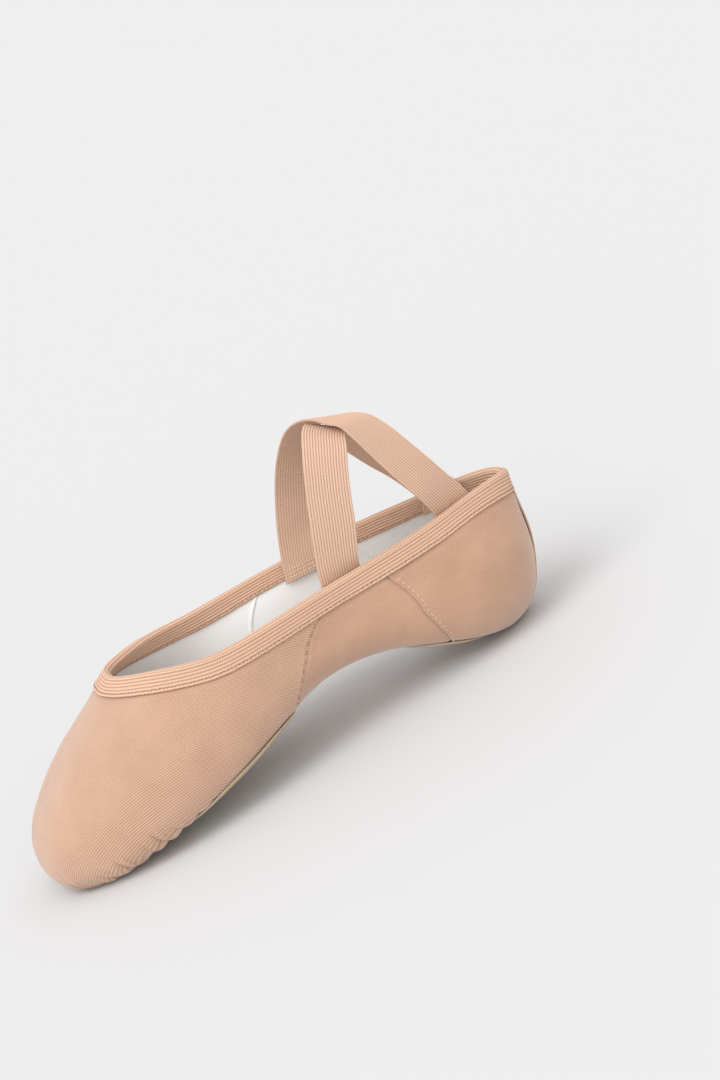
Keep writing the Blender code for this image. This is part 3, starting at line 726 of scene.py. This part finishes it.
def binding():
    section = band_section()
    count = 520
    s = np.interp(np.linspace(0, TOP_RUN[-1], count, endpoint=False), TOP_RUN, TOP_S)
    grid_s = np.repeat(s[:, None], len(section), 1)
    run = np.interp(s, TOP_S, TOP_RUN)[:, None]
    depth = np.repeat(section[None, :, 0], count, 0)
    offset = np.repeat(section[None, :, 1], count, 0)
    loose = 0.08 * np.sin(run * 0.21) + 0.03 * np.sin(run * 0.83 + 1.0)
    depth = depth + loose * (depth > 5)
    points = stand(below_topline(grid_s, depth, offset))
    uv = np.stack([np.repeat(run, len(section), 1), np.repeat(section[None, :, 2], count, 0)], -1)
    faces = grid_faces(count, len(section), True, True)
    ob = make("looks_topline_binding", "binding_elastic", points, faces, uv)
    return soft(ob, "topline_binding", slot="elastic")


binding()


# ---- stitches ----------------------------------------------------------------------------------------
STITCH_SIDES = 6


def stitch_mesh(pairs, radius, rise):
    """Threads that dive into the cloth at both ends: pairs of (start, end, outward normal)."""
    points, faces = [], []
    turn = np.arange(STITCH_SIDES) * 2 * math.pi / STITCH_SIDES
    levels = ((0.0, -1.2, 0.55), (0.14, 0.1, 1.0), (0.5, 1.0, 1.0), (0.86, 0.1, 1.0), (1.0, -1.2, 0.55))
    for a, b, n in pairs:
        ahead = (b - a) / max(np.linalg.norm(b - a), 1e-6)
        side = np.cross(n, ahead)
        first = len(points)
        for share, lift, girth in levels:
            middle = a + (b - a) * share + n * rise * lift
            for w in turn:
                points.append(middle + (side * math.cos(w) + n * math.sin(w)) * radius * girth)
        for k in range(len(levels) - 1):
            for j in range(STITCH_SIDES):
                m = (j + 1) % STITCH_SIDES
                low, high = first + k * STITCH_SIDES, first + (k + 1) * STITCH_SIDES
                faces.append((low + j, low + m, high + m, high + j))
        faces.append(tuple(first + j for j in range(STITCH_SIDES))[::-1])
        faces.append(tuple(first + (len(levels) - 1) * STITCH_SIDES + j for j in range(STITCH_SIDES)))
    return np.array(points), faces


def along_line(points, pitch, length):
    """Stitch ends spaced along a line of points with normals."""
    place, normal = points
    run = np.concatenate([[0], np.cumsum(np.linalg.norm(np.diff(place, axis=0), axis=1))])
    starts = np.arange(pitch * 0.5, run[-1] - length, pitch)
    at = lambda r: np.array([np.interp(r, run, place[:, k]) for k in range(3)])
    face = lambda r: np.array([np.interp(r, run, normal[:, k]) for k in range(3)])
    normals = [face(r + length / 2) for r in starts]
    return [(at(r), at(r + length), n / np.linalg.norm(n)) for r, n in zip(starts, normals)]


def standing_line(s, t, offset):
    """Points on the wall with their outward normals, standing."""
    place = stand(wall(s, t, offset))
    proud = stand(wall(s, t, np.asarray(offset) + 1.0))
    n = proud - place
    return place, n / np.linalg.norm(n, axis=-1, keepdims=True)


def seam_stitches(name, node, stations, side, way, away, pitch, length, radius, material):
    top = seam(stations, 3.0) if side > 0 else LOOP - seam(stations, 3.0)
    t = np.linspace(float(height_at(top, BAND + 0.6)), 1.15, 60)
    at = seam(stations, t)
    s = at + way * away / pace(at, t)
    s = s if side > 0 else LOOP - s
    offset = upper_relief(s, t, side, "arch")
    pairs = along_line(standing_line(s, t, offset), pitch, length)
    points, faces = stitch_mesh(pairs, radius, 0.10)
    return soft(make(name, material, points, faces), node, slot="thread")


for word, side in (("outer", 1), ("inner", -1)):
    # The vamp seams' stitches use the darkened thread: painted shade of their sunk stitch holes.
    seam_stitches("looks_vamp_seam_" + word, "vamp_seam_thread_" + word, VAMP_SEAM[side], side, way=1,
                  away=0.9, pitch=3.8, length=2.3, radius=0.17, material="thread_painted_shade")
    seam_stitches("looks_heel_seam_" + word, "heel_seam_thread_" + word, HEEL_SEAM[side], side, way=-1,
                  away=1.9, pitch=2.6, length=1.7, radius=0.13, material="thread")


def band_stitches():
    """Zigzag that holds the binding's lower edge, outside and inside."""
    pitch = 1.5
    run = np.arange(0, TOP_RUN[-1] - pitch / 2, pitch)
    s = np.interp(run, TOP_RUN, TOP_S)
    pairs = []
    for inside in (False, True):
        edge = BAND_INNER if inside else BAND
        depth = np.where(np.arange(len(run)) % 2 == 0, edge - 0.6, edge - 2.0)
        offset = np.full(len(run), BAND_IN + 0.05 if inside else BAND_OUT - 0.1)
        place = stand(below_topline(s, depth, offset))
        proud = stand(below_topline(s, depth, offset + (-1.0 if inside else 1.0)))
        n = proud - place
        n /= np.linalg.norm(n, axis=1, keepdims=True)
        for i in range(len(run)):
            k = (i + 1) % len(run)
            pairs.append((place[i] * 0.9 + place[k] * 0.1, place[i] * 0.1 + place[k] * 0.9, n[i]))
    points, faces = stitch_mesh(pairs, 0.13, 0.10)
    # The zigzag uses the darkened thread: painted shade.
    ob = make("looks_binding_zigzag", "thread_painted_shade", points, faces)
    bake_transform(ob)


band_stitches()


# ---- back tape ---------------------------------------------------------------------------------------
def back_tape():
    half = 3.1
    t = np.concatenate([np.linspace(float(height_at(0.0, BAND - 0.5)), 2, 50), np.linspace(2, 1.32, 26)[1:]])
    half_across = np.array([0.05, 0.15, 0.3, 0.45, 0.6, 0.75, 0.88, 0.96, 1])
    across = np.concatenate([-half_across[::-1], [0], half_across])
    s = across[None, :] * half / pace(0.02, t)[:, None]
    grid_t = np.repeat(t[:, None], len(across), 1)
    edge = np.abs(across)[None, :]
    lift = 0.85 - 0.35 * smooth(0.8, 1.0, edge) - 0.25 * bump(edge, 0.62, 0.1) + 0.15 * bump(edge, 0.0, 0.15)
    lift = np.repeat(lift, len(t), 0)
    outer = stand(wall(s, grid_t, lift))
    inner = stand(wall(s, grid_t, np.full(s.shape, 0.02)))
    run = np.repeat(np.arange(len(t))[:, None] * 0.9, len(across), 1)
    uv = np.stack([run, across[None, :] * half + 0 * run], -1)
    points, faces = slab(outer, inner)
    ob = make("looks_back_seam_tape", "canvas_side", points, faces, np.concatenate([uv.reshape(-1, 2)] * 2))
    soft(ob, "back_seam_tape", slot="canvas")
    pairs = []
    for side in (-1, 1):
        line = side * 0.62 * half / pace(0.02, t)
        pairs += along_line(standing_line(line, t, np.full(len(t), 0.68)), 2.6, 1.9)
    points, faces = stitch_mesh(pairs, 0.16, 0.14)
    ob = make("looks_back_tape_stitches", "thread", points, faces)
    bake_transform(ob)


back_tape()


# ---- sole patches and insoles ------------------------------------------------------------------------
def sole_lift(x, y):
    """Height of the canvas under the sole above the flat, where it turns up beyond the flat sole edge."""
    out = np.zeros(np.shape(x))
    for side in (1, -1):
        s = np.linspace(1.5, 10.5, 60)
        s = s if side > 0 else LOOP - s
        edge, wide = form(s, 1.0), form(s, 2.0)
        order = np.argsort(edge[:, 0])
        flat = np.interp(x, edge[order, 0], np.abs(edge[order, 1]))
        far = np.interp(x, edge[order, 0], np.abs(wide[order, 1]))
        high = np.interp(x, edge[order, 0], wide[order, 2])
        share = np.clip((side * y - flat) / np.maximum(far - flat, 1.0), 0, 0.98)
        out = np.maximum(out, high * (1 - np.sqrt(1 - share ** 2)))
    return out


SPOKES = 260


def plate_points(outline, centre, profile, shape):
    """Rings of a sole piece: profile gives (inset, height) pairs; shape turns plan points into heights."""
    turns = np.arange(SPOKES) * len(outline) / SPOKES
    edge = closed_curve(outline, turns)
    middle = np.array(centre)
    spread = np.linalg.norm(edge - middle, axis=1)
    rings = []
    for inset, z in profile:
        keep = np.clip(1 - inset / spread, 0.01, 1)[:, None]
        plan = middle + (edge - middle) * keep
        rings.append(np.concatenate([plan, (z + shape(plan))[:, None]], 1))
    return np.array(rings)


def plate(name, material, slot, node, outline, centre, profile, shape, rigid):
    rings = plate_points(outline, centre, profile, shape)
    count = len(rings) * SPOKES
    faces = [tuple(f) for f in grid_faces(len(rings), SPOKES, False, True)]
    faces.append(tuple(range(SPOKES))[::-1])
    faces.append(tuple(range(count - SPOKES, count)))
    points = stand(rings)
    ob = make(name, material, points, faces, rings[..., :2])
    bm = bmesh.new()
    bm.from_mesh(ob.data)
    bmesh.ops.recalc_face_normals(bm, faces=bm.faces)
    bm.to_mesh(ob.data)
    bm.free()
    return soft(ob, node, slot=slot, rigid=rigid)


def patch(name, node, thread_node, outline, centre, rigid, curl):
    """Suede patch with a sunk row of stitches, and its thread."""
    groove, top, low = 3.4, -0.12, -1.35

    def shape(plan):
        x, y = plan[:, 0], plan[:, 1]
        wavy = np.array([noise.noise(Vector((a / 15, b / 15, 3.0))) for a, b in plan])
        return 0.85 * sole_lift(x, y) - curl * smooth(24, 14, x) * (x < 60) + 0.12 * wavy

    inner = [44, 40, 36, 32, 28, 24, 20, 16, 13, 10, 7.5, 6]
    top_side = [(r, top) for r in inner] + [(3.0, top), (1.0, top), (0.25, top - 0.1), (0.0, top - 0.35)]
    rim = [(-0.05, (top + low) / 2), (0.05, low + 0.35), (0.4, low + 0.08)]
    rim += [(1.0, low), (1.8, low), (2.4, low + 0.02)]
    across = (-0.7, -0.45, -0.2, 0, 0.2, 0.45, 0.7, 1.1)
    sunk = [(groove + w, low + 0.5 * math.exp(-(w / 0.45) ** 2)) for w in across]
    under = [(r, low) for r in inner[::-1]]
    plate(name, "suede", "suede", node, outline, centre, top_side + rim + sunk + under, shape, rigid)
    ring = plate_points(outline, centre, [(groove, low + 0.42)], shape)[0]
    ring = np.vstack([ring, ring[:1]])
    place = stand(ring)
    below = stand(ring - np.array([0, 0, 1.0]))
    pairs = along_line((place, below - place), 3.1, 2.3)
    points, faces = stitch_mesh(pairs, 0.27, 0.22)
    soft(make(name + "_stitches", "patch_thread", points, faces), thread_node, slot="thread", rigid=rigid)


patch("looks_forefoot_patch", "forefoot_sole_patch", "forefoot_patch_thread", BALL_PATCH, BALL_CENTRE,
      rigid="forefoot", curl=0.0)
patch("looks_heel_patch", "heel_sole_patch", "heel_patch_thread", HEEL_PATCH, HEEL_CENTRE,
      rigid=None, curl=1.4)


def insole(name, node, outline, centre, rigid):
    def shape(plan):
        return np.array([0.15 * noise.noise(Vector((a / 9, b / 9, 7.0))) for a, b in plan])

    rings = [44, 38, 32, 26, 20, 15, 11, 8, 5]
    profile = [(r, 4.3) for r in rings] + [(2.5, 4.25), (1.2, 4.05), (0.3, 3.6)]
    profile += [(0.0, 3.1), (0.3, 2.6), (1.0, 2.45)]
    profile += [(r, 2.45) for r in rings[::-1]]
    plate(name, "insole", "insole", node, outline, centre, profile, shape, rigid)


insole("looks_forefoot_insole", "forefoot_insole", BALL_INSOLE, BALL_CENTRE, "forefoot")
insole("looks_heel_insole", "heel_insole", HEEL_INSOLE, HEEL_CENTRE, None)


# ---- straps ------------------------------------------------------------------------------------------
RIBS = 16


def on_wall(s, distance, depth, offset):
    """Standing point beside the wall, a distance towards the toe from station s along the topline."""
    step = np.linalg.norm(stand(form(s + 0.01, 3.0)) - stand(form(s - 0.01, 3.0))) / 0.02
    ahead = 1 if s < TOE else -1
    return stand(below_topline(s + ahead * distance / step, depth, offset))


def strap(name, node, middle, front, back):
    """Ribbed elastic from its front sewn end over the foot to its back one."""
    lanes = np.linspace(-0.5, 0.5, 9) * STRAP_WIDTH
    count = 260
    lines = []
    for a in lanes:
        front_end = [on_wall(front[0], a, front[1] * share, STRAP_INSET) for share in (1, 0.5)]
        back_end = [on_wall(back[0], a, back[1] * share, STRAP_INSET) for share in (0.5, 1)]
        crowns = [on_wall(end[0], a, -0.5, STRAP_INSET) for end in (front, back)]
        arc = [(x + SHIFT[0] + u * a, y + SHIFT[1] + v * a, z + w * a) for x, y, z, u, v, w in middle]
        lines.append(open_curve(front_end + crowns[:1] + arc + crowns[1:] + back_end, count))
    coarse = np.array(lines)
    share = np.linspace(-0.5, 0.5, RIBS * 8 + 1)
    fine = np.array([[np.interp(share * STRAP_WIDTH, lanes, coarse[:, i, k]) for k in range(3)]
                     for i in range(count)])
    fine = np.moveaxis(fine, 1, 2)
    n = np.cross(np.gradient(fine, axis=1), np.gradient(fine, axis=0))
    n /= np.linalg.norm(n, axis=2, keepdims=True)
    core = np.array([fine[..., 0].mean(), SHIFT[1], 75.0])
    if np.sum(n * (fine - core)) < 0:
        n = -n
    ribs = np.abs(np.sin(math.pi * (share + 0.5) * RIBS)) ** 0.6
    thin = 0.45 + 0.55 * smooth(0.5, 0.487, np.abs(share))
    outer = fine + n * ((STRAP_THICK / 2 - 0.28 + 0.3 * ribs) * thin)[None, :, None]
    inner = fine - n * ((STRAP_THICK / 2 - 0.1 + 0.08 * ribs) * thin)[None, :, None]
    run = np.concatenate([[0], np.cumsum(np.linalg.norm(np.diff(fine[:, len(share) // 2], axis=0), axis=1))])
    uv = np.stack(np.meshgrid(run, (share + 0.5) * STRAP_WIDTH, indexing="ij"), -1)
    points, faces = slab(outer, inner)
    ob = make(name, "strap_elastic", points, faces, np.concatenate([uv.reshape(-1, 2)] * 2))
    soft(ob, node, slot="elastic")


strap("looks_strap_outer_front", "strap_outer_front", OUTER_STRAP, *OUTER_STRAP_ENDS)
strap("looks_strap_inner_front", "strap_inner_front", INNER_STRAP, *INNER_STRAP_ENDS)


def strap_tack(name, node, end):
    """Three short rows of stitches through a strap end, on the inside."""
    s, reach = end
    pairs = []
    inward = on_wall(s, 0, reach / 2, -6.0) - on_wall(s, 0, reach / 2, -5.0)
    for depth in (reach - 1.8, reach - 3.4, reach - 5.0):
        for k in range(7):
            a = -0.5 * STRAP_WIDTH + 2.0 + k * 2.1
            pairs.append((on_wall(s, a, depth, -4.85), on_wall(s, a + 1.6, depth, -4.85), inward))
    points, faces = stitch_mesh(pairs, 0.17, 0.12)
    soft(make(name, "thread", points, faces), node, slot="thread")


strap_tack("looks_tack_front_outer", "strap_tack_front_outer", OUTER_STRAP_ENDS[0])
strap_tack("looks_tack_front_inner", "strap_tack_front_inner", INNER_STRAP_ENDS[0])
strap_tack("looks_tack_back_outer", "strap_tack_back_outer", INNER_STRAP_ENDS[1])
strap_tack("looks_tack_back_inner", "strap_tack_back_inner", OUTER_STRAP_ENDS[1])


# ---- floor, light and camera -------------------------------------------------------------------------
floor_mesh = bpy.data.meshes.new("floor")
REACH = 4    # half the floor's width, m
floor_corners = [(-REACH, -REACH, 0), (REACH, -REACH, 0), (REACH, REACH, 0), (-REACH, REACH, 0)]
floor_mesh.from_pydata(floor_corners, [], [(0, 1, 2, 3)])
floor = bpy.data.objects.new("floor", floor_mesh)
bpy.context.scene.collection.objects.link(floor)
pale = bpy.data.materials.new("floor_pale")
pale.use_nodes = True
paint = pale.node_tree.nodes["Principled BSDF"]
paint.inputs["Base Color"].default_value = (0.575, 0.58, 0.59, 1)
paint.inputs["Roughness"].default_value = 0.7
paint.inputs["Specular IOR Level"].default_value = 0.1
floor_mesh.materials.append(pale)
floor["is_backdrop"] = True

world = bpy.data.worlds.new("studio")
bpy.context.scene.world = world
world.use_nodes = True
sky = world.node_tree.nodes["Background"]
sky.inputs["Color"].default_value = (1.0, 0.985, 0.97, 1)
sky.inputs["Strength"].default_value = 1.0


def sun(name, energy, spread, toward, color):
    """Soft sun lamp shining along a direction."""
    data = bpy.data.lights.new(name, "SUN")
    data.energy = energy
    data.angle = math.radians(spread)
    data.color = color
    lamp = bpy.data.objects.new(name, data)
    lamp.rotation_euler = Vector(toward).to_track_quat("-Z", "Y").to_euler()
    bpy.context.scene.collection.objects.link(lamp)


sun("key", 1.5, 40.0, (-0.55, -0.35, -1.0), (1.0, 0.99, 0.97))
sun("fill", 0.88, 60.0, (-0.10, -1.0, -0.40), (1.0, 0.99, 0.98))

CAMERA_PLACE = (0.07344, 1.2904, 0.5121)
forward = Vector((-0.094, -0.94054, -0.3264)).normalized()
upward = Vector((-0.5077, -0.23673, 0.82837))
upward = (upward - forward * upward.dot(forward)).normalized()
rightward = forward.cross(upward)
camera_data = bpy.data.cameras.new("camera")
camera_data.lens = 111.8
camera_data.sensor_width = 36.0
camera = bpy.data.objects.new("camera", camera_data)
camera.matrix_world = Matrix.Translation(CAMERA_PLACE) @ Matrix(
    (rightward, upward, -forward)).transposed().to_4x4()
bpy.context.scene.collection.objects.link(camera)
bpy.context.scene.camera = camera
bpy.context.scene.view_settings.view_transform = "Standard"


def plain(value):
    if isinstance(value, dict):
        return {k: plain(v) for k, v in value.items()}
    if hasattr(value, "__len__") and not isinstance(value, str):
        return [plain(v) for v in value]
    return float(value)


{"cad": plain(CAD_BOX), "looks": plain(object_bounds())}
